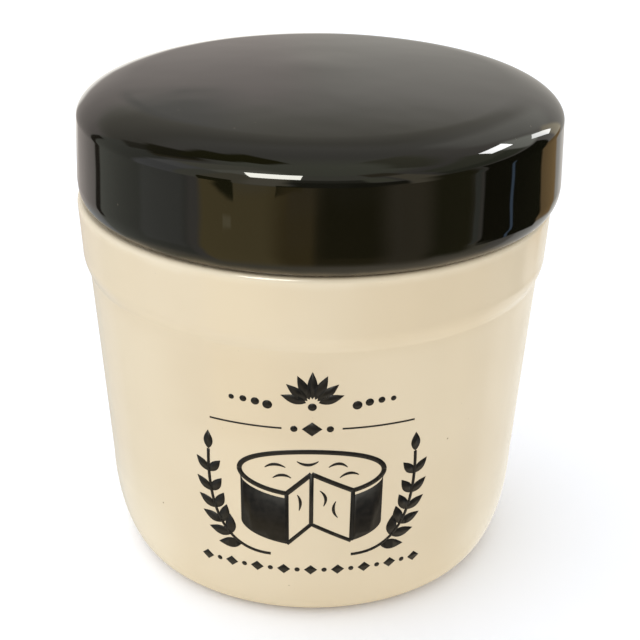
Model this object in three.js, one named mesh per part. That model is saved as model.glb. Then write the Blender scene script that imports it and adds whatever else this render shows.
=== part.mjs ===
// A small round stoneware cheese pot with its lid on, in millimetres, +Z up.
// The origin is the middle of the foot, on the surface that the pot stands on.
// The pot is shut and can't be seen into, so the pot and the lid are solid.
// The lid lies on the pot's flat top.
import * as THREE from "three";

// Driving dimensions of the pot
const POT_HEIGHT = 72.5;
const FOOT_RADIUS = 35.3;
const FOOT_RING_WIDTH = 6;
const FOOT_RECESS = 1;
const BELLY_RADIUS = 41;
const BELLY_HEIGHT = 17.8;
const BELLY_POWER = 1.9;
const NECK_RADIUS = 43.3;
const STEP_HEIGHT = 58.3;
const STEP_RISE = 4.4;
const STEP_POWER = 2.4;
const STEP_HOLLOW = 0.16;
const COLLAR_RADIUS_LOW = 44.4;
const COLLAR_RADIUS_HIGH = 44.8;
const COLLAR_ROUND = 0.9;

// Driving dimensions of the lid
const LID_RADIUS = 45;
const LID_FLARE = 0.5;
const LID_TOP = 94.8;
const LID_DOME = 2.4;
const SHOULDER_WIDTH = 10.2;
const SHOULDER_HEIGHT = 4.4;
const LID_EDGE_WIDTH = 1.6;
const LID_EDGE_HEIGHT = 3.7;
const LID_PLAY = 0.8;
const SEAM = 0.3;

// How finely round forms are divided
const TURN_STEPS = 96;
const ARC_STEPS = 8;
const DOME_STEPS = 5;

const CREAM_GLAZE = new THREE.MeshStandardMaterial({ color: 0xe2d2b0, roughness: 0.22, metalness: 0 });
const BLACK_GLAZE = new THREE.MeshStandardMaterial({ color: 0x0e0c09, roughness: 0.06, metalness: 0 });

// Points of a quarter of an oval about a centre, from one angle to the other, in degrees.
// A power of 2 is a true oval, and a lower one is flatter.
function ovalArc(centreR, centreZ, halfWidth, halfHeight, fromDeg, toDeg, steps, power = 2) {
  const points = [];
  for (let i = 0; i <= steps; i++) {
    const angle = THREE.MathUtils.degToRad(fromDeg + ((toDeg - fromDeg) * i) / steps);
    const across = Math.cos(angle);
    const up = Math.sin(angle);
    points.push(
      new THREE.Vector2(
        centreR + halfWidth * Math.sign(across) * Math.abs(across) ** (2 / power),
        centreZ + halfHeight * Math.sign(up) * Math.abs(up) ** (2 / power),
      ),
    );
  }
  return points;
}

// The step from one radius and height to another. It is hollowed at its foot, is steepest just over that, and
// eases to upright at its top.
function collarStep(fromR, fromZ, toR, toZ, steps) {
  const points = [];
  for (let i = 0; i <= steps; i++) {
    const t = i / steps;
    const whole = Math.hypot(1, STEP_HOLLOW) - STEP_HOLLOW;
    const eased = (Math.hypot(t, STEP_HOLLOW) - STEP_HOLLOW) / whole;
    const out = 1 - (1 - eased) ** STEP_POWER;
    points.push(new THREE.Vector2(fromR + (toR - fromR) * out, fromZ + (toZ - fromZ) * t));
  }
  return points;
}

// A solid turned about +Z from a profile of radius and height that starts and ends on the axis.
// A point that repeats the one before it is left out, and a point on the axis is put exactly there.
function turned(profile) {
  const outline = profile.filter((p, i) => i === 0 || p.distanceTo(profile[i - 1]) > 1e-3);
  for (const p of outline) {
    if (p.x < 1e-6) {
      p.x = 0;
    }
  }
  const geometry = new THREE.LatheGeometry(outline, TURN_STEPS);
  geometry.rotateX(Math.PI / 2);
  return geometry;
}

// The pot: foot ring with a shallow recess, rounded belly, tapered wall, a low step out to the collar,
// and the collar's rounded shoulder up to the flat top that carries the lid.
function potProfile() {
  const ringInside = FOOT_RADIUS - FOOT_RING_WIDTH;
  const belly = ovalArc(
    FOOT_RADIUS,
    BELLY_HEIGHT,
    BELLY_RADIUS - FOOT_RADIUS,
    BELLY_HEIGHT,
    -90,
    0,
    ARC_STEPS + 2,
    BELLY_POWER,
  );
  const stepTop = STEP_HEIGHT + STEP_RISE;
  const step = collarStep(NECK_RADIUS, STEP_HEIGHT, COLLAR_RADIUS_LOW, stepTop, ARC_STEPS + 2);
  const shoulder = ovalArc(
    COLLAR_RADIUS_HIGH - COLLAR_ROUND,
    POT_HEIGHT - COLLAR_ROUND,
    COLLAR_ROUND,
    COLLAR_ROUND,
    0,
    90,
    ARC_STEPS - 2,
  );
  return [
    new THREE.Vector2(0, FOOT_RECESS),
    new THREE.Vector2(ringInside - FOOT_RECESS, FOOT_RECESS),
    new THREE.Vector2(ringInside, 0),
    ...belly,
    ...step,
    ...shoulder,
    new THREE.Vector2(0, POT_HEIGHT),
  ];
}

// The lid: flat underside, rounded lower edge, nearly upright wall, and a low dome that runs smoothly into a
// broad shoulder. The dome falls with the square of the radius, and past its own radius the shoulder's
// quarter oval is taken off it as well.
function lidProfile() {
  const base = POT_HEIGHT + SEAM;
  const edge = ovalArc(
    LID_RADIUS + LID_FLARE - LID_EDGE_WIDTH,
    base + LID_EDGE_HEIGHT,
    LID_EDGE_WIDTH,
    LID_EDGE_HEIGHT,
    -90,
    0,
    ARC_STEPS,
  );
  const domeRadius = LID_RADIUS - SHOULDER_WIDTH;
  const drop = (radius) => LID_DOME * (radius / LID_RADIUS) ** 2;
  const shoulder = ovalArc(
    domeRadius,
    LID_TOP - SHOULDER_HEIGHT,
    SHOULDER_WIDTH,
    SHOULDER_HEIGHT,
    0,
    90,
    ARC_STEPS,
  );
  const dome = [];
  for (let i = 1; i <= DOME_STEPS; i++) {
    dome.push(new THREE.Vector2(domeRadius * (1 - i / DOME_STEPS), LID_TOP));
  }
  const crown = [...shoulder, ...dome].map((p) => new THREE.Vector2(p.x, p.y - drop(p.x)));
  return [new THREE.Vector2(0, base), ...edge, ...crown];
}

const part = new THREE.Group();

const pot = new THREE.Mesh(turned(potProfile()), CREAM_GLAZE);
pot.name = "pot";
part.add(pot);

// The lid lies a little off the pot's axis, as its loose fit lets it.
const lid = new THREE.Mesh(turned(lidProfile()), BLACK_GLAZE);
lid.name = "lid";
lid.position.set(LID_PLAY, 0, 0);
part.add(lid);

export default part;
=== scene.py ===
"""A small round stoneware cheese pot with its black glazed lid on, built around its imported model.

It is laid out as an add-on and run as a script: each piece has an operator, which main() calls in order.
Lengths are in metres, +Z is up, and the printed front faces -Y.
"""
import math

import bmesh
import bpy
from bpy.props import FloatProperty, FloatVectorProperty, IntProperty, PointerProperty
from mathutils import Matrix, Quaternion, Vector, noise


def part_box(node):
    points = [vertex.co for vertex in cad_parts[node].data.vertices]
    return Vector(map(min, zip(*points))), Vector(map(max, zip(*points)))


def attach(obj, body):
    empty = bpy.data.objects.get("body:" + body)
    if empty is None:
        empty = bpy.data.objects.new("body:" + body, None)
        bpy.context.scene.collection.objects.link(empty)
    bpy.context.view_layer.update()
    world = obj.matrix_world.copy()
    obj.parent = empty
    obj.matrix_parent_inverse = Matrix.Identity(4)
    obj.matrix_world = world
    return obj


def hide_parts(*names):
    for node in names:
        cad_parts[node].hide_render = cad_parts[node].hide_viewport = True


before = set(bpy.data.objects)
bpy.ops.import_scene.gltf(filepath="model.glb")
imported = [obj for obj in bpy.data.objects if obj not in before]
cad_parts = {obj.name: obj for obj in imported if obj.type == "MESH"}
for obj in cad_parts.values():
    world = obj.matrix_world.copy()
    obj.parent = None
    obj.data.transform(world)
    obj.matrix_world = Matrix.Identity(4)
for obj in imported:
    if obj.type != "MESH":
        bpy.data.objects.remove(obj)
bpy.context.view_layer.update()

bl_info = {
    "name": "Stoneware Cheese Pot",
    "version": (1, 0, 0),
    "blender": (4, 5, 0),
    "location": "View3D > Sidebar > Cheese Pot",
    "description": "Builds a glazed stoneware cheese pot, its lid, its front print and a plain studio",
    "category": "Add Mesh",
}

MM = 0.001
BODY = "root"
pot_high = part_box("pot")[1]
lid_low, lid_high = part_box("lid")


# Sizes and colours

def length(name, description, value):
    return FloatProperty(name=name, description=description, default=value, unit="LENGTH", precision=5)


def number(name, description, value):
    return FloatProperty(name=name, description=description, default=value, min=0)


def angle(name, description, degrees):
    return FloatProperty(name=name, description=description, default=math.radians(degrees), subtype="ANGLE")


def colour(name, description, value):
    return FloatVectorProperty(
        name=name, description=description, default=value, size=3, subtype="COLOR", min=0, max=1
    )


class PotSizes(bpy.types.PropertyGroup):
    """The turned profile of the pot"""

    height: length("Height", "From the table to the flat top", pot_high.z)
    foot_radius: length("Foot radius", "Outside of the flat foot ring", 35.3 * MM)
    foot_ring: length("Foot ring", "Width of the flat foot ring", 6 * MM)
    recess: length("Recess", "Depth of the recess inside the foot ring", 1 * MM)
    bare_foot: length("Bare foot", "Height to which the foot was wiped clean of glaze", 1.3 * MM)
    glaze: length("Glaze", "Thickness of the glaze where it ends above the foot", 0.25 * MM)
    belly_radius: length("Belly radius", "Where the rounded bottom meets the wall", 41 * MM)
    belly_height: length("Belly height", "Height of the rounded bottom", 17.8 * MM)
    belly_power: number("Belly power", "2 is a true oval, less is flatter", 1.9)
    neck_radius: length("Neck radius", "Top of the tapered wall", 43.3 * MM)
    step_height: length("Step height", "Where the step out to the collar starts", 58.3 * MM)
    step_rise: length("Step rise", "Height over which the collar's lower edge is rounded", 4.4 * MM)
    step_power: number("Step power", "How much steeper the step is at its foot", 2.4)
    step_hollow: number("Step hollow", "Share of the step that is hollowed at its foot", 0.16)
    collar_low: length("Collar, low", "Radius of the collar above the step", 44.4 * MM)
    collar_high: length("Collar, high", "Radius of the collar under its rounded top", pot_high.y)
    collar_round: length("Collar rounding", "Radius of the collar's rounded top edge", 0.9 * MM)
    waviness: length("Waviness", "How far the cast wall wanders inwards", 0.04 * MM)


class LidSizes(bpy.types.PropertyGroup):
    """The turned profile of the lid"""

    base: length("Underside", "Height of the lid's flat underside", lid_low.z)
    top: length("Top", "Height of the middle of the dome", lid_high.z)
    play: length("Play", "How far the lid lies off the pot's axis", (lid_low.x + lid_high.x) / 2)
    radius: length("Radius", "Radius where the shoulder starts", 45 * MM)
    flare: length("Flare", "How much wider the wall is at its lower end", 0.5 * MM)
    dome: length("Dome", "How far the dome falls from the middle to the rim", 2.4 * MM)
    shoulder_width: length("Shoulder width", "Width of the rounded shoulder", 10.2 * MM)
    shoulder_height: length("Shoulder height", "Height of the rounded shoulder", 4.4 * MM)
    edge_width: length("Edge width", "Width of the rounded lower edge", 1.6 * MM)
    edge_height: length("Edge height", "Height of the rounded lower edge", 3.7 * MM)
    waviness: length("Waviness", "How far the cast wall wanders inwards", 0.2 * MM)
    crest: length("Crest", "Height of the soft crest near the middle of the dome", 0.16 * MM)
    crest_reach: length("Crest reach", "How far the soft crest spreads", 7 * MM)


class PrintSizes(bpy.types.PropertyGroup):
    """The black print on the front"""

    thickness: length("Thickness", "How far the print stands above the glaze", 0.03 * MM)
    sink: length("Sink", "How far the print reaches into the glaze", 0.05 * MM)
    rule_height: length("Rule height", "Height of the two thin rules", 43.4 * MM)
    rule_inside: length("Rule start", "Distance of a rule's inner end from the middle", 5.2 * MM)
    rule_outside: length("Rule end", "Distance of a rule's outer end from the middle", 18.2 * MM)
    rule_width: length("Rule width", "Thickness of the drawn rules", 0.34 * MM)
    wheel_half_width: length("Wheel half width", "Half the width of the drawn cheese", 13 * MM)
    wheel_top: length("Wheel top", "Height of the middle of the drawn cheese's top", 34 * MM)
    wheel_depth: length("Wheel depth", "Height of the drawn cheese's side", 11.2 * MM)
    border_height: length("Border height", "Height of the row of small marks under the cheese", 12.6 * MM)
    border_half_width: length("Border half width", "Half the length of the row of small marks", 20.4 * MM)


class Glazes(bpy.types.PropertyGroup):
    """Colours of the glazes, the clay and the print"""

    cream: colour("Cream", "Main colour of the cream glaze", (0.730, 0.615, 0.432))
    # Deep cream is also the painted shade in the patches on the right of the collar and on the upper wall
    cream_deep: colour("Deep cream", "Where the cream glaze lies thick", (0.650, 0.525, 0.345))
    # Pale cream is also the painted light low on both sides of the pot
    cream_pale: colour("Pale cream", "Where the cream glaze lies thin", (0.800, 0.705, 0.530))
    speck: colour("Specks", "Iron specks in the cream glaze", (0.190, 0.125, 0.070))
    black: colour("Black", "Main colour of the black glaze", (0.0020, 0.0019, 0.0013))
    black_brown: colour("Brown black", "Where the black glaze breaks to brown", (0.0070, 0.0052, 0.0024))
    rim_brown: colour("Rim brown", "The lid's lower edge, where glaze is thinnest", (0.085, 0.062, 0.034))
    clay: colour("Clay", "Bare stoneware of the foot", (0.560, 0.460, 0.330))
    ink: colour("Ink", "Fired print", (0.0060, 0.0056, 0.0060))


class StudioSettings(bpy.types.PropertyGroup):
    """The camera and the strength of the light"""

    distance: length("Camera distance", "From the middle of the pot to the camera", 260 * MM)
    aim_height: length("Aim height", "Height of the point the camera is set out from", 45 * MM)
    elevation: angle("Elevation", "Camera above the level", 25.509)
    roll: angle("Roll", "Lean of the camera", 0.627)
    turn: angle("Turn", "Camera turned off its aim", -0.2937)
    tilt: angle("Tilt", "Camera tilted off its aim", -0.2462)
    lens: number("Lens", "Focal length in millimetres, on a sensor 36 mm wide", 72.942)
    fill: number("Fill", "Strength of the even light all round", 1.14)
    key: number("Key", "Brightness of the soft box at the upper left", 21)
    rim: number("Rim", "Brightness of the soft boxes at the right, behind", 15)
    steps: IntProperty(name="Turning steps", description="Sides of each turned form", default=288, min=24)


# Turned forms

# How many steps the stretches of the pot's profile have
BELLY_STEPS = 44
WALL_STEPS = 26
STEP_STEPS = 28
COLLAR_STEPS = 8
COLLAR_EDGE_STEPS = 14

# How many steps the stretches of the lid's profile have
LID_EDGE_STEPS = 34
LID_WALL_STEPS = 22
SHOULDER_STEPS = 48
DOME_STEPS = 26

# How round the bare foot's edges are, and how far its ring reaches up into the pot
FOOT_ROLL = 0.4 * MM
FOOT_ROUNDING = 0.35 * MM
FOOT_BURIED = 0.9 * MM


def oval(centre_r, centre_z, half_width, half_height, start, end, steps, power=2.0):
    """Points of an oval about a centre between two angles in degrees. A power of 2 is a true oval."""
    points = []
    for i in range(steps + 1):
        turn = math.radians(start + (end - start) * i / steps)
        across, up = math.cos(turn), math.sin(turn)
        points.append((
            centre_r + half_width * math.copysign(abs(across) ** (2 / power), across),
            centre_z + half_height * math.copysign(abs(up) ** (2 / power), up),
        ))
    return points


def straight(start, end, steps):
    """Points between two points, without either of them."""
    return [tuple(a + (b - a) * i / steps for a, b in zip(start, end)) for i in range(1, steps)]


def belly(s):
    """The rounded bottom of the pot, from the foot up to the wall."""
    width, height = s.belly_radius - s.foot_radius, s.belly_height
    return oval(s.foot_radius, height, width, height, -90, 0, BELLY_STEPS, s.belly_power)


def wall_radius(s, z):
    """Outer radius of the belly and the tapered wall at a height."""
    if z >= s.belly_height:
        share = (z - s.belly_height) / (s.step_height - s.belly_height)
        return s.belly_radius + (s.neck_radius - s.belly_radius) * share
    below = (s.belly_height - z) / s.belly_height
    out = (1 - below ** s.belly_power) ** (1 / s.belly_power)
    return s.foot_radius + (s.belly_radius - s.foot_radius) * out


def collar_step(s):
    """The step out to the collar: hollowed at its foot, steepest just over that, and upright at its top."""
    points = []
    whole = math.hypot(1, s.step_hollow) - s.step_hollow
    for i in range(STEP_STEPS + 1):
        t = i / STEP_STEPS
        eased = (math.hypot(t, s.step_hollow) - s.step_hollow) / whole
        out = 1 - (1 - eased) ** s.step_power
        radius = s.neck_radius + (s.collar_low - s.neck_radius) * out
        points.append((radius, s.step_height + s.step_rise * t))
    return points


def pot_profile(s):
    """Under the foot, up the wall, over the step and the collar, and back to the axis under the lid."""
    inner = s.foot_radius - s.foot_ring - s.recess
    under_glaze = s.bare_foot + FOOT_ROLL
    edge = wall_radius(s, s.bare_foot)
    points = [
        (0.0, s.recess),
        (inner - FOOT_ROLL, s.recess),
        (inner, s.recess + FOOT_ROLL),
        (inner, under_glaze),
        (edge - 1.2 * MM, under_glaze),
        (edge - 0.5 * MM, s.bare_foot + 0.15 * MM),
        (edge - 0.15 * MM, s.bare_foot),
    ]
    points += [p for p in belly(s) if p[1] > s.bare_foot + 0.1 * MM]
    points += straight(points[-1], (s.neck_radius, s.step_height), WALL_STEPS)
    points += collar_step(s)
    rounding = s.collar_round
    rim = oval(s.collar_high - rounding, s.height - rounding, rounding, rounding, 0, 90, COLLAR_EDGE_STEPS)
    points += straight(points[-1], rim[0], COLLAR_STEPS) + rim
    return points + [(0.0, s.height)]


def foot_profile(s):
    """Section of the bare foot ring, a closed loop whose top is buried in the pot."""
    inside = s.foot_radius - s.foot_ring
    top = s.bare_foot + FOOT_BURIED
    inner = [
        (inside - s.recess * 0.8, top),
        (inside - s.recess * 0.6, s.recess),
        (inside - 0.15 * MM, 0.2 * MM),
    ]
    flat_start, flat_end = (inside + FOOT_ROUNDING, 0.0), (s.foot_radius - FOOT_ROUNDING, 0.0)
    flat = [flat_start] + straight(flat_start, flat_end, 8) + [flat_end]
    outer = [(s.foot_radius + 0.15 * MM, 0.08 * MM)]
    outer += [(r - s.glaze, z) for r, z in belly(s) if FOOT_ROUNDING < z < s.bare_foot + 0.6 * MM]
    return inner + flat + outer + [(outer[-1][0] - 0.6 * MM, top)]


def lid_profile(s):
    """Flat underside, rounded edge, nearly upright wall, and a dome that runs into a broad shoulder."""
    foot = s.radius + s.flare - s.edge_width
    edge = oval(foot, s.base + s.edge_height, s.edge_width, s.edge_height, -90, 0, LID_EDGE_STEPS)
    dome_radius = s.radius - s.shoulder_width
    low = s.top - s.shoulder_height
    shoulder = oval(dome_radius, low, s.shoulder_width, s.shoulder_height, 0, 90, SHOULDER_STEPS)
    dome = [(dome_radius * (1 - i / DOME_STEPS), s.top) for i in range(1, DOME_STEPS + 1)]
    crown = [(r, z - s.dome * (r / s.radius) ** 2) for r, z in shoulder + dome]
    return [(0.0, s.base)] + edge + straight(edge[-1], crown[0], LID_WALL_STEPS) + crown


def turned(profile, steps, centre_x=0.0, closed=False):
    """A mesh turned about a line parallel to +Z from points of radius and height."""
    bm = bmesh.new()
    verts = [bm.verts.new((centre_x + r, 0, z)) for r, z in profile]
    edges = [bm.edges.new(pair) for pair in zip(verts, verts[1:])]
    if closed:
        edges.append(bm.edges.new((verts[-1], verts[0])))
    bmesh.ops.spin(
        bm, geom=verts + edges, cent=(centre_x, 0, 0), axis=(0, 0, 1), angle=math.tau, steps=steps,
        use_merge=True,
    )
    bmesh.ops.remove_doubles(bm, verts=bm.verts, dist=1e-7)
    bmesh.ops.recalc_face_normals(bm, faces=bm.faces)
    bm.normal_update()
    return bm


# How many waves a metre of the wall holds across and upwards, and where in the noise they are taken
POT_WAVES = (26, 34, 11.0)
LID_WAVES = (46, 40, 9.0)

# Over what heights the waves fade out at the pot's foot, under its rim and at the lid's underside
FOOT_FADE = 8 * MM
RIM_FADE = 4 * MM
UNDERSIDE_FADE = 3 * MM

# The middle of the lid's soft crest, and how much calmer the dome is than the wall
DOME_CREST_X, DOME_CREST_Y = -1.5 * MM, 5 * MM
DOME_CALM = 0.7


def held(value):
    """A value kept between 0 and 1."""
    return min(1.0, max(0.0, value))


def wander(point, across, upward, seed):
    """A soft wave between 0 and 1 over the surface, as a mould and a hand leave it."""
    place = Vector((point.x * across, point.y * across, point.z * upward + seed))
    wave = noise.noise(place) + 0.3 * noise.noise(place * 2.1 + Vector((seed, 3.7, 1.3)))
    return 0.5 + 0.5 * math.tanh(2 * wave)


def pot_dip(s, point):
    """How far the wall lies inside its turned form at a point, fading out at the foot and the rim."""
    fade = held((point.z - s.bare_foot) / FOOT_FADE) * held((s.height - point.z) / RIM_FADE)
    return s.waviness * fade * wander(point, *POT_WAVES)


def lid_dip(s, point):
    """How far the lid lies inside its turned form at a point, fading out at the underside."""
    waves = s.waviness * held((point.z - s.base) / UNDERSIDE_FADE) * wander(point, *LID_WAVES)
    over = held((point.z - s.top + s.dome + s.shoulder_height) / s.shoulder_height)
    over = over * over * (3 - 2 * over)
    away = math.hypot(point.x - s.play - DOME_CREST_X, point.y - DOME_CREST_Y)
    around_crest = s.crest * over * (1 - math.exp(-((away / s.crest_reach) ** 2)))
    return waves * (1 - DOME_CALM * over) + around_crest


def finish(bm, name, material, replaces=None):
    """Makes the piece from the bmesh, smooth, in place, riding on the pot's one body."""
    mesh = bpy.data.meshes.new(name)
    bm.to_mesh(mesh)
    bm.free()
    for polygon in mesh.polygons:
        polygon.use_smooth = True
    piece = bpy.data.objects.new(name, mesh)
    bpy.context.scene.collection.objects.link(piece)
    piece.data.materials.append(material)
    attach(piece, BODY)
    if replaces:
        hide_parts(replaces)


# Shader nodes

def give(tree, made, inputs):
    """Sets a node's inputs, to plain values or joined to sockets."""
    for key, value in inputs.items():
        if isinstance(value, bpy.types.NodeSocket):
            tree.links.new(value, made.inputs[key])
        else:
            made.inputs[key].default_value = value


def node(tree, kind, inputs=None, **settings):
    """Adds a node with its settings and its inputs."""
    made = tree.nodes.new(kind)
    for key, value in settings.items():
        setattr(made, key, value)
    give(tree, made, inputs or {})
    return made


def maths(tree, operation, first, second=0.0):
    return node(tree, "ShaderNodeMath", {0: first, 1: second}, operation=operation).outputs[0]


def times(tree, first, second):
    return maths(tree, "MULTIPLY", first, second)


def mixed(tree, factor, first, second):
    """A colour between two colours."""
    shades = [c if isinstance(c, bpy.types.NodeSocket) else (*c, 1) for c in (first, second)]
    return node(tree, "ShaderNodeMix", {0: factor, 6: shades[0], 7: shades[1]}, data_type="RGBA").outputs[2]


def ranged(tree, value, low, high, to_low=0.0, to_high=1.0, soft=True):
    """A value moved from one range to another, eased at its ends if soft."""
    inputs = {0: value, 1: low, 2: high, 3: to_low, 4: to_high}
    kind = "SMOOTHSTEP" if soft else "LINEAR"
    return node(tree, "ShaderNodeMapRange", inputs, interpolation_type=kind).outputs[0]


def tinted(tree, base, shade, mask, share=1.0):
    """A colour moved towards another by a share, where a mask is."""
    return mixed(tree, times(tree, mask, share), base, shade)


def noisy(tree, place, scale, detail):
    """Soft noise about 0.5."""
    inputs = {"Vector": place, "Scale": scale, "Detail": detail}
    return node(tree, "ShaderNodeTexNoise", inputs).outputs[0]


def shader_group(name, inputs, outputs, fill):
    """A node group made once, from its inputs' names and first values and its outputs' names."""
    if name in bpy.data.node_groups:
        return bpy.data.node_groups[name]
    tree = bpy.data.node_groups.new(name, "ShaderNodeTree")
    for key, value in inputs.items():
        kind = "NodeSocketVector" if value is None else "NodeSocketFloat"
        socket = tree.interface.new_socket(name=key, in_out="INPUT", socket_type=kind)
        if value is not None:
            socket.default_value = value
    for key in outputs:
        tree.interface.new_socket(name=key, in_out="OUTPUT", socket_type="NodeSocketFloat")
    start, end = tree.nodes.new("NodeGroupInput"), tree.nodes.new("NodeGroupOutput")
    for key, socket in fill(tree, start.outputs).items():
        tree.links.new(socket, end.inputs[key])
    return tree


def placed(tree, group, inputs):
    """The first output of a group placed in a tree."""
    made = tree.nodes.new("ShaderNodeGroup")
    made.node_tree = group
    give(tree, made, inputs)
    return made.outputs[0]


def cloudy_glaze(tree, place, scale):
    """Soft clouds in a glaze, from 0 to 1."""
    def fill(inner, given):
        return {"Clouds": ranged(inner, noisy(inner, given["Vector"], given["Scale"], 2.5), 0.32, 0.68)}

    group = shader_group("Cloudy glaze", {"Vector": None, "Scale": 60.0}, ["Clouds"], fill)
    return placed(tree, group, {"Vector": place, "Scale": scale})


def fired_specks(tree, place, scale, size, share):
    """Small round specks, few and far between, as a mask. Their size is a share of their spacing."""
    def fill(inner, given):
        spread = {"Vector": given["Vector"], "Scale": given["Scale"], "Randomness": 1.0}
        cells = node(inner, "ShaderNodeTexVoronoi", spread)
        chance = node(inner, "ShaderNodeSeparateColor", {0: cells.outputs["Color"]})
        chosen = maths(inner, "LESS_THAN", chance.outputs[0], given["Share"])
        smaller = ranged(inner, chance.outputs[1], 0.0, 1.0, 0.45, 1.0, soft=False)
        reach = times(inner, given["Size"], smaller)
        round_spot = ranged(inner, cells.outputs["Distance"], reach, times(inner, reach, 0.5))
        return {"Mask": times(inner, chosen, round_spot)}

    inputs = {"Vector": None, "Scale": 250.0, "Size": 0.08, "Share": 0.1}
    group = shader_group("Fired specks", inputs, ["Mask"], fill)
    return placed(tree, group, {"Vector": place, "Scale": scale, "Size": size, "Share": share})


def glaze_skin(tree, place, peel_scale, ripple_scale, peel_share):
    """The height of a fired glaze's skin: a fine orange peel on a slow ripple."""
    def fill(inner, given):
        peel = noisy(inner, given["Vector"], given["Peel scale"], 1.0)
        ripple = noisy(inner, given["Vector"], given["Ripple scale"], 1.0)
        return {"Height": maths(inner, "ADD", times(inner, peel, given["Peel share"]), ripple)}

    inputs = {"Vector": None, "Peel scale": 700.0, "Ripple scale": 90.0, "Peel share": 0.1}
    group = shader_group("Glaze skin", inputs, ["Height"], fill)
    values = (place, peel_scale, ripple_scale, peel_share)
    return placed(tree, group, dict(zip(inputs, values)))


def glaze_band(tree, place, height, half_width):
    """A soft band around a turned form at one height, with an uneven edge, as a mask."""
    def fill(inner, given):
        z = node(inner, "ShaderNodeSeparateXYZ", {0: given["Vector"]}).outputs[2]
        uneven = maths(inner, "SUBTRACT", noisy(inner, given["Vector"], 120.0, 2.0), 0.5)
        drifted = maths(inner, "ADD", z, times(inner, uneven, given["Half width"]))
        away = maths(inner, "ABSOLUTE", maths(inner, "SUBTRACT", drifted, given["Height"]))
        return {"Mask": ranged(inner, away, given["Half width"], 0.0)}

    inputs = {"Vector": None, "Height": 0.05, "Half width": 0.002}
    group = shader_group("Glaze band", inputs, ["Mask"], fill)
    return placed(tree, group, {"Vector": place, "Height": height, "Half width": half_width})


def between(tree, value, low, high, softness):
    """Where a value lies between two others, as a mask that is soft on both sides of its ends."""
    away = maths(tree, "ABSOLUTE", maths(tree, "SUBTRACT", value, (low + high) / 2))
    half = (high - low) / 2
    return ranged(tree, away, half + softness, half - softness)


def new_material(name):
    """An empty material, its tree, its coordinates on the object and its shader."""
    material = bpy.data.materials.new(name)
    material.use_nodes = True
    tree = material.node_tree
    place = node(tree, "ShaderNodeTexCoord").outputs["Object"]
    return material, tree, place, tree.nodes["Principled BSDF"]


def bumped(tree, height, distance):
    """The surface's direction over a skin that stands out by so much."""
    inputs = {"Height": height, "Distance": distance, "Strength": 1.0}
    return node(tree, "ShaderNodeBump", inputs).outputs[0]


def drifting(tree, clouds, low, high):
    """A value that drifts between two others with the clouds."""
    return ranged(tree, clouds, 0.0, 1.0, low, high, soft=False)


# Patches of painted shade on the cream, on the right of the collar and on the upper wall: from and to across,
# from and to upwards, in millimetres, and how much
PAINTED_SHADE_PATCHES = (
    (7, 33, 59, 80, 0.48),
    (-24, 4, 40, 57.5, 0.38),
)
SHADE_SOFT_ACROSS = 6 * MM
SHADE_SOFT_UPWARD = 2.5 * MM


def cream_glaze(g, s):
    """Soft gloss cream glaze: cloudy, deeper in the step, paler on rounded edges, with a few iron specks.

    It has painted shade on the right of the collar and on the upper wall, and painted light low on the sides.
    """
    material, tree, place, shader = new_material("cream_glaze")
    base = tinted(tree, g.cream, g.cream_deep, cloudy_glaze(tree, place, scale=42.0), share=0.22)
    x, _, z = node(tree, "ShaderNodeSeparateXYZ", {0: place}).outputs
    # Painted shade: each patch darkens the cream towards the deep cream
    for left, right, low, high, share in PAINTED_SHADE_PATCHES:
        across = between(tree, x, left * MM, right * MM, SHADE_SOFT_ACROSS)
        upward = between(tree, z, low * MM, high * MM, SHADE_SOFT_UPWARD)
        base = tinted(tree, base, g.cream_deep, times(tree, across, upward), share)
    # Painted light: the cream is paler low on both sides, out towards the edges
    side = ranged(tree, maths(tree, "ABSOLUTE", x), 22 * MM, 33 * MM)
    painted_low_light = times(tree, side, ranged(tree, z, 30 * MM, 6 * MM))
    base = tinted(tree, base, g.cream_pale, painted_low_light, share=0.8)
    pool = glaze_band(tree, place, height=s.step_height - 0.4 * MM, half_width=1.9 * MM)
    base = tinted(tree, base, g.cream_deep, pool, share=0.1)
    thin = glaze_band(tree, place, height=s.height - 0.5 * MM, half_width=1.6 * MM)
    base = tinted(tree, base, g.cream_pale, thin, share=0.5)
    foot = glaze_band(tree, place, height=s.bare_foot, half_width=1.6 * MM)
    base = tinted(tree, base, g.cream_deep, foot, share=0.5)
    specks = times(tree, fired_specks(tree, place, scale=250.0, size=0.085, share=0.1), 0.75)
    dust = times(tree, fired_specks(tree, place, scale=640.0, size=0.075, share=0.12), 0.3)
    base = tinted(tree, base, g.speck, maths(tree, "MAXIMUM", specks, dust))
    skin = glaze_skin(tree, place, peel_scale=620.0, ripple_scale=70.0, peel_share=0.06)
    give(tree, shader, {
        "Base Color": base,
        "Roughness": drifting(tree, cloudy_glaze(tree, place, scale=150.0), 0.15, 0.21),
        "Normal": bumped(tree, skin, 0.08 * MM),
        "IOR": 1.5,
    })
    return material


def black_glaze(g, s):
    """High gloss black glaze that breaks to brown where it lies thin, with a few pinholes."""
    material, tree, place, shader = new_material("black_glaze")
    base = tinted(tree, g.black, g.black_brown, cloudy_glaze(tree, place, scale=30.0), share=0.35)
    base = tinted(tree, base, g.rim_brown, glaze_band(tree, place, height=s.base, half_width=1.5 * MM))
    pits = fired_specks(tree, place, scale=300.0, size=0.06, share=0.12)
    base = tinted(tree, base, g.rim_brown, pits, share=0.8)
    skin = glaze_skin(tree, place, peel_scale=480.0, ripple_scale=110.0, peel_share=0.03)
    pitted = maths(tree, "SUBTRACT", skin, times(tree, pits, 0.6))
    give(tree, shader, {
        "Base Color": base,
        "Roughness": drifting(tree, cloudy_glaze(tree, place, scale=90.0), 0.015, 0.035),
        "Normal": bumped(tree, pitted, 0.05 * MM),
        "IOR": 1.5,
    })
    return material


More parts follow.
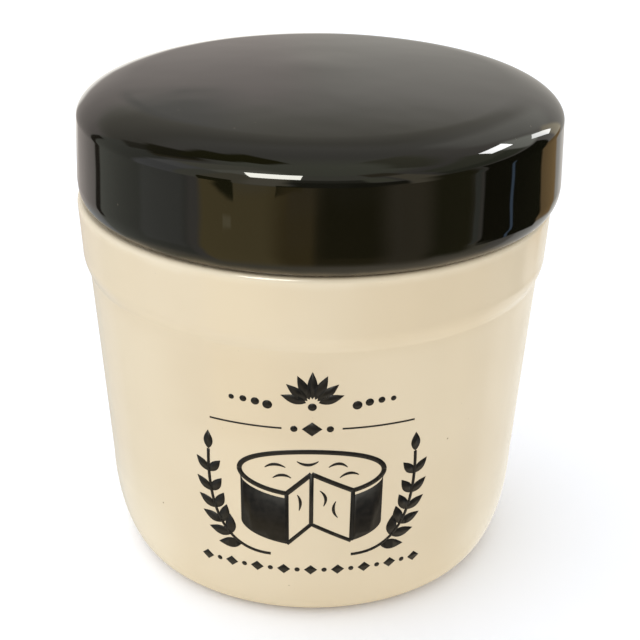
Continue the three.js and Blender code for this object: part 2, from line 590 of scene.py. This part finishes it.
def bare_clay(g):
    """Wiped stoneware: dry, gritty and uneven in colour."""
    material, tree, place, shader = new_material("bare_clay")
    clouds = cloudy_glaze(tree, place, scale=260.0)
    base = tinted(tree, g.clay, g.cream_deep, clouds, share=0.35)
    grit = fired_specks(tree, place, scale=900.0, size=0.22, share=0.35)
    base = tinted(tree, base, g.speck, grit, share=0.45)
    skin = glaze_skin(tree, place, peel_scale=2600.0, ripple_scale=700.0, peel_share=0.8)
    give(tree, shader, {
        "Base Color": base,
        "Roughness": drifting(tree, clouds, 0.72, 0.88),
        "Normal": bumped(tree, skin, 0.12 * MM),
    })
    return material


def print_ink(g):
    """Fired black print, a little uneven and less glossy than the glaze."""
    material, tree, place, shader = new_material("print_ink")
    clouds = cloudy_glaze(tree, place, scale=900.0)
    skin = glaze_skin(tree, place, peel_scale=1500.0, ripple_scale=300.0, peel_share=0.3)
    give(tree, shader, {
        "Base Color": tinted(tree, g.ink, g.speck, clouds, share=0.03),
        "Roughness": drifting(tree, clouds, 0.36, 0.46),
        "Normal": bumped(tree, skin, 0.008 * MM),
        "IOR": 1.36,
    })
    return material


FLOOR_DARKER = (0.93, 0.93, 0.925)
FLOOR_LIGHTER = (0.945, 0.945, 0.945)


def table_surface():
    """Plain pale floor that gives off a little light of its own."""
    material, tree, place, shader = new_material("pale_floor")
    give(tree, shader, {
        "Base Color": mixed(tree, cloudy_glaze(tree, place, scale=3.0), FLOOR_DARKER, FLOOR_LIGHTER),
        "Roughness": 0.9,
        "Specular IOR Level": 0.0,
        "Emission Color": (1, 1, 1, 1),
        "Emission Strength": 0.07,
    })
    return material


# The front print, drawn flat as x across and y up, then laid on the wall

def chain(bm, points):
    """Points joined in a row by edges."""
    verts = [bm.verts.new((x, y, 0)) for x, y in points]
    return [bm.edges.new(pair) for pair in zip(verts, verts[1:])]


def stroke(bm, points, width, taper=False):
    """A drawn line of one width, or one that swells in its middle."""
    sides = ([], [])
    last = len(points) - 1
    for i, point in enumerate(points):
        before, after = Vector(points[max(i - 1, 0)]), Vector(points[min(i + 1, last)])
        along = (after - before).normalized()
        swell = 0.25 + 0.75 * math.sin(math.pi * i / last) if taper else 1
        reach = width / 2 * swell
        for side, sign in zip(sides, (1, -1)):
            side.append((point[0] - along.y * reach * sign, point[1] + along.x * reach * sign))
    bmesh.ops.bridge_loops(bm, edges=chain(bm, sides[0]) + chain(bm, sides[1]))


def patch(bm, outline):
    """A filled shape from its outline."""
    bmesh.ops.contextual_create(bm, geom=[bm.verts.new((x, y, 0)) for x, y in outline])


def dot(bm, centre, radius, sides=20, stretch=1.0):
    """A filled round dot, or with 4 sides a lozenge."""
    made = bmesh.ops.create_circle(bm, cap_ends=True, segments=sides, radius=radius)["verts"]
    bmesh.ops.scale(bm, verts=made, vec=(1, stretch, 1))
    bmesh.ops.translate(bm, verts=made, vec=(*centre, 0))


# How finely a leaf's side is drawn, and where it is widest: 1 is its middle, less is nearer its root
LEAF_STEPS = 9
LEAF_FULLNESS = 0.85


def leaf(bm, root, heading, size, width):
    """A filled pointed leaf that grows from its root at an angle in degrees."""
    shares = [i / LEAF_STEPS for i in range(LEAF_STEPS + 1)]
    side = [(size * t, width / 2 * math.sin(math.pi * t ** LEAF_FULLNESS)) for t in shares]
    outline = side + [(x, -y) for x, y in reversed(side[1:-1])]
    across, up = math.cos(math.radians(heading)), math.sin(math.radians(heading))
    patch(bm, [(root[0] + x * across - y * up, root[1] + x * up + y * across) for x, y in outline])


def curve(start, bend, end, steps):
    """Points of a simple bent line through three guides."""
    points = []
    for i in range(steps + 1):
        t = i / steps
        points.append(tuple(
            (1 - t) ** 2 * a + 2 * t * (1 - t) * b + t * t * c for a, b, c in zip(start, bend, end)
        ))
    return points


# How flat the drawn cheese's oval top is, how wide its lines are, and how far its filled side starts under it
WHEEL_FLATNESS = 0.36
WHEEL_LINE = 0.95 * MM
THIN_LINE = 0.8 * WHEEL_LINE
SIDE_GAP = 1.1 * MM

# Where its slice is cut, in degrees, and how deep the cut looks as a share of the cheese's depth
CUT_LEFT, CUT_RIGHT = 250, 305
CUT_SHARE = 0.98

# Each vein's start, bend and end, in millimetres across and up from the middle of the drawn cheese's top
TOP_VEINS = (
    ((-8.3, 0.9), (-6.6, 2.4), (-4.6, 1.2)),
    ((-6.9, -1.2), (-5.2, 0.2), (-3.6, -1.0)),
    ((-2.6, 2.6), (-0.6, 1.2), (1.2, 2.7)),
    ((3.0, 1.4), (4.8, 2.9), (6.3, 1.3)),
    ((5.0, -0.9), (6.6, 0.7), (8.4, -0.5)),
)
CUT_VEINS = (
    ((-2.5, -4.6), (-1.6, -6.0), (-2.2, -8.0)),
    ((1.5, -3.6), (3.2, -5.0), (2.2, -7.0)),
    ((4.4, -6.0), (3.4, -8.0), (4.8, -9.6)),
)


def draw_wheel(bm, p):
    """A round cheese with a slice cut out, its sides filled and its top open with a few veins."""
    half, top, depth = p.wheel_half_width, p.wheel_top, p.wheel_depth
    cut_left, cut_right = math.radians(CUT_LEFT), math.radians(CUT_RIGHT)

    def rim(turn, drop=0.0):
        return (half * math.cos(turn), top - drop + half * WHEEL_FLATNESS * math.sin(turn))

    def arc(start, end, steps):
        return [start + (end - start) * i / steps for i in range(steps + 1)]

    for turns in (arc(math.pi, cut_left, 24), arc(cut_right, math.tau, 24)):
        patch(bm, [rim(a, SIDE_GAP) for a in turns] + [rim(a, depth) for a in reversed(turns)])
        stroke(bm, [rim(a) for a in turns], WHEEL_LINE)
    stroke(bm, [rim(a) for a in arc(0, math.pi, 48)], WHEEL_LINE)
    middle, low_middle = (0.0, top), (0.0, top - depth * CUT_SHARE)
    for corner in (rim(cut_left), rim(cut_right)):
        stroke(bm, [corner, middle], WHEEL_LINE)
        low = (corner[0], corner[1] - depth)
        stroke(bm, [corner, low], THIN_LINE)
        stroke(bm, [low, low_middle], THIN_LINE)
    stroke(bm, [middle, low_middle], THIN_LINE)
    for veins, width in ((TOP_VEINS, 0.6 * MM), (CUT_VEINS, 0.55 * MM)):
        for vein in veins:
            stroke(bm, [(x * MM, top + y * MM) for x, y in curve(*vein, steps=8)], width, taper=True)


# A spray's stem from its start over its bend to its tip, in millimetres away from the middle and up
STEM = ((7.5, 15.9), (20.4, 15.9), (18.9, 36.6))
STEM_STEPS = 24
FIRST_LEAF, LEAF_SPACING = 6, 3
LEAF_ANGLE = 40

# How long the leaves would be at the stem's start, and how much shorter they are from step to step
LEAF_SIZE = 5.2
LEAF_LOSS = 0.07
LEAF_SLIMNESS = 0.46


def draw_spray(bm, side):
    """A leafy stem beside the cheese, curving up and outwards. Its lowest leaf has none opposite."""
    stem = curve(*[(side * x * MM, z * MM) for x, z in STEM], steps=STEM_STEPS)
    stroke(bm, stem, 0.6 * MM)
    for i in range(FIRST_LEAF, STEM_STEPS, LEAF_SPACING):
        here, ahead = Vector(stem[i]), Vector(stem[i + 1])
        heading = math.degrees(math.atan2(ahead.y - here.y, ahead.x - here.x))
        size = (LEAF_SIZE - LEAF_LOSS * i) * MM
        for turn in (LEAF_ANGLE, -LEAF_ANGLE) if i > FIRST_LEAF else (-LEAF_ANGLE * side,):
            leaf(bm, stem[i], heading + turn, size, size * LEAF_SLIMNESS)
    leaf(bm, stem[-1], 90 + side * 2, 4 * MM, 1.8 * MM)


# Where the leaves of the fan come together, and how many degrees lie between two of them
CREST_HEIGHT = 48.4 * MM
CREST_ROOT = 1.1 * MM
CREST_SPREAD = 24


def draw_crest(bm):
    """A small fan of leaves over the rules, on a shallow arc of dots."""
    for i in range(-3, 4):
        heading = 90 - i * CREST_SPREAD
        turn = math.radians(heading)
        root = (CREST_ROOT * math.cos(turn), CREST_HEIGHT + CREST_ROOT * math.sin(turn))
        leaf(bm, root, heading, (5.4 - 0.3 * abs(i)) * MM, 1.75 * MM)
    dot(bm, (0, CREST_HEIGHT - 0.5 * MM), 0.75 * MM)
    for side in (-1, 1):
        for i in range(4):
            centre = (side * (7.6 + 2.1 * i) * MM, (48.0 + 0.10 * i * (5 - i)) * MM)
            dot(bm, centre, (0.85 - 0.12 * i) * MM, sides=16)


def draw_rules(bm, p):
    """Two thin rules with a lozenge and dots between them."""
    for side in (-1, 1):
        start = (side * p.rule_inside, p.rule_height)
        end = (side * p.rule_outside, p.rule_height)
        stroke(bm, [start] + straight(start, end, 14) + [end], p.rule_width)
        dot(bm, (side * 3.1 * MM, p.rule_height), 0.62 * MM)
    dot(bm, (0, p.rule_height), 1.75 * MM, sides=4, stretch=0.82)


def draw_border(bm, p):
    """A row of small lozenges and dots under the cheese."""
    each_side = 8
    for i in range(-each_side, each_side + 1):
        place = (p.border_half_width * i / each_side, p.border_height)
        if i % 2:
            dot(bm, place, 0.5 * MM, sides=16)
        else:
            dot(bm, place, 1.25 * MM, sides=4, stretch=0.9)


# How far apart the drawing is cut across, and upwards from the first to the last cut over the rounded bottom
CUT_ACROSS = 1.2 * MM
CUT_UPWARD = 1.6 * MM
FIRST_CUT, LAST_CUT = 5, 13


def lay_on_wall(bm, p, s):
    """Cuts the flat drawing finely enough to bend, gives it its thickness and wraps it round the front."""
    half = int((p.border_half_width + 2 * MM) / CUT_ACROSS)
    cuts = [((i * CUT_ACROSS, 0, 0), (1, 0, 0)) for i in range(-half, half + 1)]
    cuts += [((0, i * CUT_UPWARD, 0), (0, 1, 0)) for i in range(FIRST_CUT, LAST_CUT + 1)]
    for point, normal in cuts:
        everything = bm.verts[:] + bm.edges[:] + bm.faces[:]
        bmesh.ops.bisect_plane(bm, geom=everything, dist=1e-7, plane_co=point, plane_no=normal)
    bmesh.ops.recalc_face_normals(bm, faces=bm.faces)
    for face in bm.faces:
        if face.normal.z < 0:
            face.normal_flip()
    raised = bmesh.ops.extrude_face_region(bm, geom=bm.faces[:])["geom"]
    upper = [v for v in raised if isinstance(v, bmesh.types.BMVert)]
    bmesh.ops.translate(bm, verts=upper, vec=(0, 0, p.thickness + p.sink))
    spread = wall_radius(s, p.wheel_top)
    for v in bm.verts:
        x, z, out = v.co.x, v.co.y, v.co.z - p.sink
        turn = x / spread
        radius = wall_radius(s, z)
        on_wall = Vector((radius * math.sin(turn), -radius * math.cos(turn), z))
        away = Vector((math.sin(turn), -math.cos(turn), 0))
        v.co = on_wall + away * (out - pot_dip(s, on_wall))
    bmesh.ops.recalc_face_normals(bm, faces=bm.faces)


# The studio

# Panels that stand around the pot, for the gloss to mirror. Each has its compass direction from and to, its
# rise from and to, how soft its edges are, and its colour. Directions are in degrees, 0 at the front, 90 at
# the right and past 180 at the back, and a later panel stands before an earlier one.
PANELS = (
    (150, 220, 14, 72, 28, (0.56, 0.54, 0.48)),
    (165, 240, 24, 46, 12, (0.42, 0.40, 0.34)),
    (180, 236, -24, 22, 6, (0.63, 0.57, 0.53)),
    (186, 195, 18, 27, 5, (0.41, 0.40, 0.37)),
    (142, 180, -24, 22, 8, (0.67, 0.64, 0.585)),
    (140, 158, 18, 50, 8, (0.84, 0.82, 0.74)),
    (180, 204, -17, 1, 6, (1.50, 1.45, 1.35)),
    (150, 180, -24, -15, 4, (0.84, 0.80, 0.74)),
    (108, 180, -44, -22, 6, (1.06, 1.04, 0.98)),
    (180, 248, -38, -24, 6, (0.62, 0.63, 0.62)),
    (-125, -60, -40, 46, 5, (0.43, 0.44, 0.38)),
    (-92, -62, 46, 74, 8, (0.98, 0.95, 0.74)),
    (-64, -38, 40, 72, 8, (1.32, 1.30, 1.05)),
    (-92, -62, 28, 48, 8, (1.00, 1.00, 0.98)),
    (-90, -64, -13, 32, 6, (0.78, 0.79, 0.79)),
    (-88, -62, -28, -14, 5, (0.56, 0.57, 0.52)),
    (-66, -50, -12, 46, 6, (0.84, 0.83, 0.66)),
    (-112, -101, 43, 62, 6, (0.27, 0.23, 0.13)),
    (-128, -114, 34, 47, 4, (0.19, 0.18, 0.14)),
    (-133, -108, 44, 61, 4, (0.12, 0.11, 0.06)),
    (-145, -116, 55, 70, 4, (0.13, 0.12, 0.04)),
    (-154, -124, 61, 76, 4, (0.13, 0.12, 0.03)),
    (-125, -120, -24, 18, 2, (0.07, 0.06, 0.05)),
    (-53, -14, -14, 50, 4, (0.90, 0.82, 0.58)),
    (-34, -18, -8, 44, 8, (1.20, 1.10, 0.84)),
    (-54, -14, -48, -13, 4, (0.97, 0.76, 0.34)),
    (-54, -39, -14.7, 9, 0.6, (0.14, 0.13, 0.04)),
    (-44.5, -40.5, -18, -16.7, 0.8, (1.35, 1.15, 0.65)),
    (-16, 36, 44, 66, 7, (0.78, 0.765, 0.62)),
    (-16, 26, 14, 46, 7, (0.30, 0.29, 0.22)),
    (-12, 26, -14, 30, 6, (0.15, 0.145, 0.10)),
    (14, 42, -14, 22, 4, (0.11, 0.105, 0.07)),
    (-20, -8, -15.1, -4, 0.4, (0.12, 0.12, 0.05)),
    (24, 38, 26, 52, 5, (0.80, 0.81, 0.59)),
    (-20, 3, -48, -13, 12, (0.56, 0.41, 0.16)),
    (-2, 36, -46, -15, 6, (0.26, 0.21, 0.09)),
    (0, 33, -24, -12, 10, (0.15, 0.13, 0.05)),
    (31, 64, -50, -4, 16, (0.44, 0.37, 0.24)),
    (58, 90, -44, -24, 7, (0.66, 0.61, 0.46)),
    (42, 58, -10, 56, 4, (1.00, 0.89, 0.64)),
    (52, 76, -34, 24, 12, (0.15, 0.14, 0.06)),
    (62, 120, 24, 40, 6, (0.30, 0.32, 0.23)),
    (66, 118, 38, 54, 6, (0.46, 0.47, 0.34)),
    (34, 58, 56, 68, 6, (0.40, 0.34, 0.22)),
    (92, 152, 60, 73, 7, (0.46, 0.45, 0.32)),
    (74, 77, -26, 5, 1.5, (0.40, 0.42, 0.36)),
    (79, 125, -27, 21, 2, (0.03, 0.03, 0.015)),
    (97, 99, -27, -8, 1, (0.34, 0.50, 0.72)),
    (124, 142, -24, -3, 3, (0.50, 0.33, 0.15)),
    (118, 137, 23, 40, 5, (1.45, 1.47, 1.30)),
    (133, 143, -3, 23, 4, (1.25, 1.12, 0.84)),
)

# What the gloss mirrors where no panel stands
AROUND = (0.62, 0.58, 0.52)
OVERHEAD = (0.80, 0.82, 0.63)
TABLE_LEFT = (0.80, 0.72, 0.52)
TABLE_RIGHT = (1.08, 0.94, 0.70)

# The even light from each side, and how much stronger it is from the upper left
LIGHT_LEFT = (1.16, 1.225, 1.36)
LIGHT_RIGHT = (0.91, 0.935, 0.99)
LIGHT_BACK = (1.06, 1.12, 1.25)
LIGHT_FRONT = (0.855, 0.83, 0.775)
LIGHT_SLOPE = 0.45


def studio_panel():
    """The group that says where one panel stands, as a mask."""
    def fill(tree, given):
        sides = []
        for way in ("turn", "rise"):
            half = f"Half {way}"
            off = maths(tree, "SUBTRACT", given[way.capitalize()], given[f"Middle {way}"])
            nearest = node(tree, "ShaderNodeMath", {0: off, 1: 180.0, 2: -180.0}, operation="WRAP")
            away = maths(tree, "ABSOLUTE", nearest.outputs[0])
            inner = maths(tree, "SUBTRACT", given[half], given["Softness"])
            outer = maths(tree, "ADD", given[half], given["Softness"])
            sides.append(ranged(tree, away, outer, inner))
        return {"Mask": times(tree, *sides)}

    names = ("Turn", "Rise", "Middle turn", "Half turn", "Middle rise", "Half rise", "Softness")
    return shader_group("Studio panel", dict.fromkeys(names, 1.0), ["Mask"], fill)


def mirrored_room(tree, x, y, z):
    """The table, the room and its panels, by direction."""
    turn = maths(tree, "DEGREES", maths(tree, "ARCTAN2", x, times(tree, y, -1.0)))
    rise = maths(tree, "DEGREES", maths(tree, "ARCSINE", z))
    room = mixed(tree, ranged(tree, rise, 58.0, 72.0), AROUND, OVERHEAD)
    group = studio_panel()
    for left, right, low, high, soft, shade in PANELS:
        mask = placed(tree, group, {
            "Turn": turn, "Middle turn": (left + right) / 2, "Half turn": (right - left) / 2,
            "Rise": rise, "Middle rise": (low + high) / 2, "Half rise": (high - low) / 2,
            "Softness": soft / 2,
        })
        room = mixed(tree, mask, room, shade)
    table = mixed(tree, ranged(tree, x, -0.7, 0.7), TABLE_LEFT, TABLE_RIGHT)
    return mixed(tree, ranged(tree, rise, -32.0, -54.0), room, table)


def studio_world(studio):
    """Even light for the pot, a white backdrop for the camera, and a room that the gloss mirrors."""
    world = bpy.data.worlds.new("studio")
    bpy.context.scene.world = world
    world.use_nodes = True
    tree = world.node_tree
    tree.nodes.clear()
    heading = node(tree, "ShaderNodeTexCoord").outputs["Generated"]
    x, y, z = node(tree, "ShaderNodeSeparateXYZ", {0: heading}).outputs
    sides = mixed(tree, ranged(tree, x, -0.9, 0.9), LIGHT_LEFT, LIGHT_RIGHT)
    sides = mixed(tree, ranged(tree, y, 0.1, 0.9), sides, LIGHT_BACK)
    even = mixed(tree, ranged(tree, y, -0.2, -1.0), sides, LIGHT_FRONT)
    slope = times(tree, x, maths(tree, "MAXIMUM", z, 0.0))
    fill = times(tree, maths(tree, "SUBTRACT", 1.0, times(tree, slope, LIGHT_SLOPE)), studio.fill)

    def background(shade, strength=1.0):
        return node(tree, "ShaderNodeBackground", {"Color": shade, "Strength": strength}).outputs[0]

    def chosen(ray, other, shown):
        return node(tree, "ShaderNodeMixShader", {0: rays[ray], 1: other, 2: shown}).outputs[0]

    rays = node(tree, "ShaderNodeLightPath").outputs
    light = chosen("Is Glossy Ray", background(even, fill), background(mirrored_room(tree, x, y, z)))
    seen = chosen("Is Camera Ray", light, background((1, 1, 1, 1)))
    node(tree, "ShaderNodeOutputWorld", {"Surface": seen})


# Soft boxes one metre away that only the gloss mirrors: direction, rise and lean in degrees, width, height
KEY_BOX = (-28, 55, 18, 0.33, 0.34)
RIM_BOX = (121, 43.5, -35, 0.23, 0.12)
SIDE_BOX = (131.5, 22, 8, 0.1, 0.24)
KEY_COLOUR = (1, 0.99, 0.9)
SIDE_SHARE = 0.4
BOX_AIM = Vector((0, 0, 60 * MM))


def soft_box(name, turn, rise, lean, width, height, brightness, shade=(1, 1, 1)):
    """Adds a soft box that faces the pot."""
    light = bpy.data.lights.new(name, "AREA")
    light.shape = "RECTANGLE"
    light.size, light.size_y = width, height
    light.energy = brightness * math.pi * width * height
    light.color = shade
    box = bpy.data.objects.new(name, light)
    bpy.context.scene.collection.objects.link(box)
    a, e = math.radians(turn), math.radians(rise)
    out = Vector((math.sin(a) * math.cos(e), -math.cos(a) * math.cos(e), math.sin(e)))
    box.location = BOX_AIM + out
    leaning = Quaternion((0, 0, 1), math.radians(lean))
    box.rotation_euler = (out.to_track_quat("Z", "Y") @ leaning).to_euler()
    box.visible_camera = False
    box.visible_diffuse = False


def camera_place(studio):
    """The camera on its circle round the pot, then rolled, turned and tilted a little off its aim."""
    back = Vector((0, -math.cos(studio.elevation), math.sin(studio.elevation)))
    place = Vector((0, 0, studio.aim_height)) + back * studio.distance
    aimed = back.to_track_quat("Z", "Y").to_matrix().to_4x4()
    off = Matrix.Rotation(studio.roll, 4, "Z") @ Matrix.Rotation(studio.turn, 4, "Y")
    off = off @ Matrix.Rotation(studio.tilt, 4, "X")
    return Matrix.Translation(place) @ aimed @ off


# Operators

class CHEESEPOT_OT_pot(bpy.types.Operator):
    """Adds the glazed pot in place of its plain model"""

    bl_idname = "cheese_pot.pot"
    bl_label = "Glazed Pot"

    def execute(self, context):
        scene = context.scene
        s = scene.pot_sizes
        bm = turned(pot_profile(s), scene.studio_settings.steps)
        for v in bm.verts:
            v.co -= v.normal * pot_dip(s, v.co)
        finish(bm, "pot_glazed", cream_glaze(scene.glazes, s), replaces="pot")
        return {"FINISHED"}


class CHEESEPOT_OT_foot(bpy.types.Operator):
    """Adds the bare clay foot ring under the glaze"""

    bl_idname = "cheese_pot.foot"
    bl_label = "Bare Foot Ring"

    def execute(self, context):
        scene = context.scene
        bm = turned(foot_profile(scene.pot_sizes), scene.studio_settings.steps, closed=True)
        finish(bm, "foot_ring", bare_clay(scene.glazes))
        return {"FINISHED"}


class CHEESEPOT_OT_lid(bpy.types.Operator):
    """Adds the black glazed lid in place of its plain model"""

    bl_idname = "cheese_pot.lid"
    bl_label = "Glazed Lid"

    def execute(self, context):
        scene = context.scene
        s = scene.lid_sizes
        bm = turned(lid_profile(s), scene.studio_settings.steps, centre_x=s.play)
        for v in bm.verts:
            v.co -= v.normal * lid_dip(s, v.co)
        finish(bm, "lid_glazed", black_glaze(scene.glazes, s), replaces="lid")
        return {"FINISHED"}


class CHEESEPOT_OT_front_print(bpy.types.Operator):
    """Adds the black print on the front of the pot"""

    bl_idname = "cheese_pot.front_print"
    bl_label = "Front Print"

    def execute(self, context):
        scene = context.scene
        p = scene.print_sizes
        bm = bmesh.new()
        draw_crest(bm)
        draw_rules(bm, p)
        draw_wheel(bm, p)
        for side in (-1, 1):
            draw_spray(bm, side)
        draw_border(bm, p)
        lay_on_wall(bm, p, scene.pot_sizes)
        finish(bm, "front_print", print_ink(scene.glazes))
        return {"FINISHED"}


class CHEESEPOT_OT_stage(bpy.types.Operator):
    """Adds the floor, the lights and the camera"""

    bl_idname = "cheese_pot.stage"
    bl_label = "Studio"

    def execute(self, context):
        scene = context.scene
        studio = scene.studio_settings
        bm = bmesh.new()
        bmesh.ops.create_grid(bm, x_segments=8, y_segments=8, size=4)
        mesh = bpy.data.meshes.new("floor")
        bm.to_mesh(mesh)
        bm.free()
        floor = bpy.data.objects.new("floor", mesh)
        scene.collection.objects.link(floor)
        mesh.materials.append(table_surface())
        floor.visible_glossy = False
        studio_world(studio)
        soft_box("key_box", *KEY_BOX, studio.key, KEY_COLOUR)
        soft_box("rim_box", *RIM_BOX, studio.rim)
        soft_box("side_box", *SIDE_BOX, studio.rim * SIDE_SHARE)
        lens = bpy.data.cameras.new("camera")
        lens.lens = studio.lens
        lens.sensor_width = 36
        lens.clip_start, lens.clip_end = 0.01, 50
        camera = bpy.data.objects.new("camera", lens)
        scene.collection.objects.link(camera)
        camera.matrix_world = camera_place(studio)
        scene.camera = camera
        scene.view_settings.view_transform = "Standard"
        scene.view_settings.look = "None"
        return {"FINISHED"}


class CHEESEPOT_PT_panel(bpy.types.Panel):
    """Lists the pieces in the order they are made"""

    bl_idname = "CHEESEPOT_PT_panel"
    bl_label = "Cheese Pot"
    bl_space_type = "VIEW_3D"
    bl_region_type = "UI"
    bl_category = "Cheese Pot"

    def draw(self, context):
        for operator in OPERATORS:
            self.layout.operator(operator.bl_idname)
        for group in SETTINGS:
            box = self.layout.box()
            box.label(text=group.replace("_", " ").capitalize())
            settings = getattr(context.scene, group)
            for name in settings.bl_rna.properties.keys():
                if name not in {"rna_type", "name"}:
                    box.prop(settings, name)


SETTINGS = {
    "pot_sizes": PotSizes,
    "lid_sizes": LidSizes,
    "print_sizes": PrintSizes,
    "glazes": Glazes,
    "studio_settings": StudioSettings,
}
OPERATORS = (
    CHEESEPOT_OT_pot,
    CHEESEPOT_OT_foot,
    CHEESEPOT_OT_lid,
    CHEESEPOT_OT_front_print,
    CHEESEPOT_OT_stage,
)


def register():
    for cls in (*SETTINGS.values(), *OPERATORS, CHEESEPOT_PT_panel):
        bpy.utils.register_class(cls)
    for name, group in SETTINGS.items():
        setattr(bpy.types.Scene, name, PointerProperty(type=group))


def unregister():
    for name in SETTINGS:
        delattr(bpy.types.Scene, name)
    for cls in reversed((*SETTINGS.values(), *OPERATORS, CHEESEPOT_PT_panel)):
        bpy.utils.unregister_class(cls)


def main():
    register()
    bpy.ops.cheese_pot.pot()
    bpy.ops.cheese_pot.foot()
    bpy.ops.cheese_pot.lid()
    bpy.ops.cheese_pot.front_print()
    bpy.ops.cheese_pot.stage()


if __name__ == "__main__":
    main()
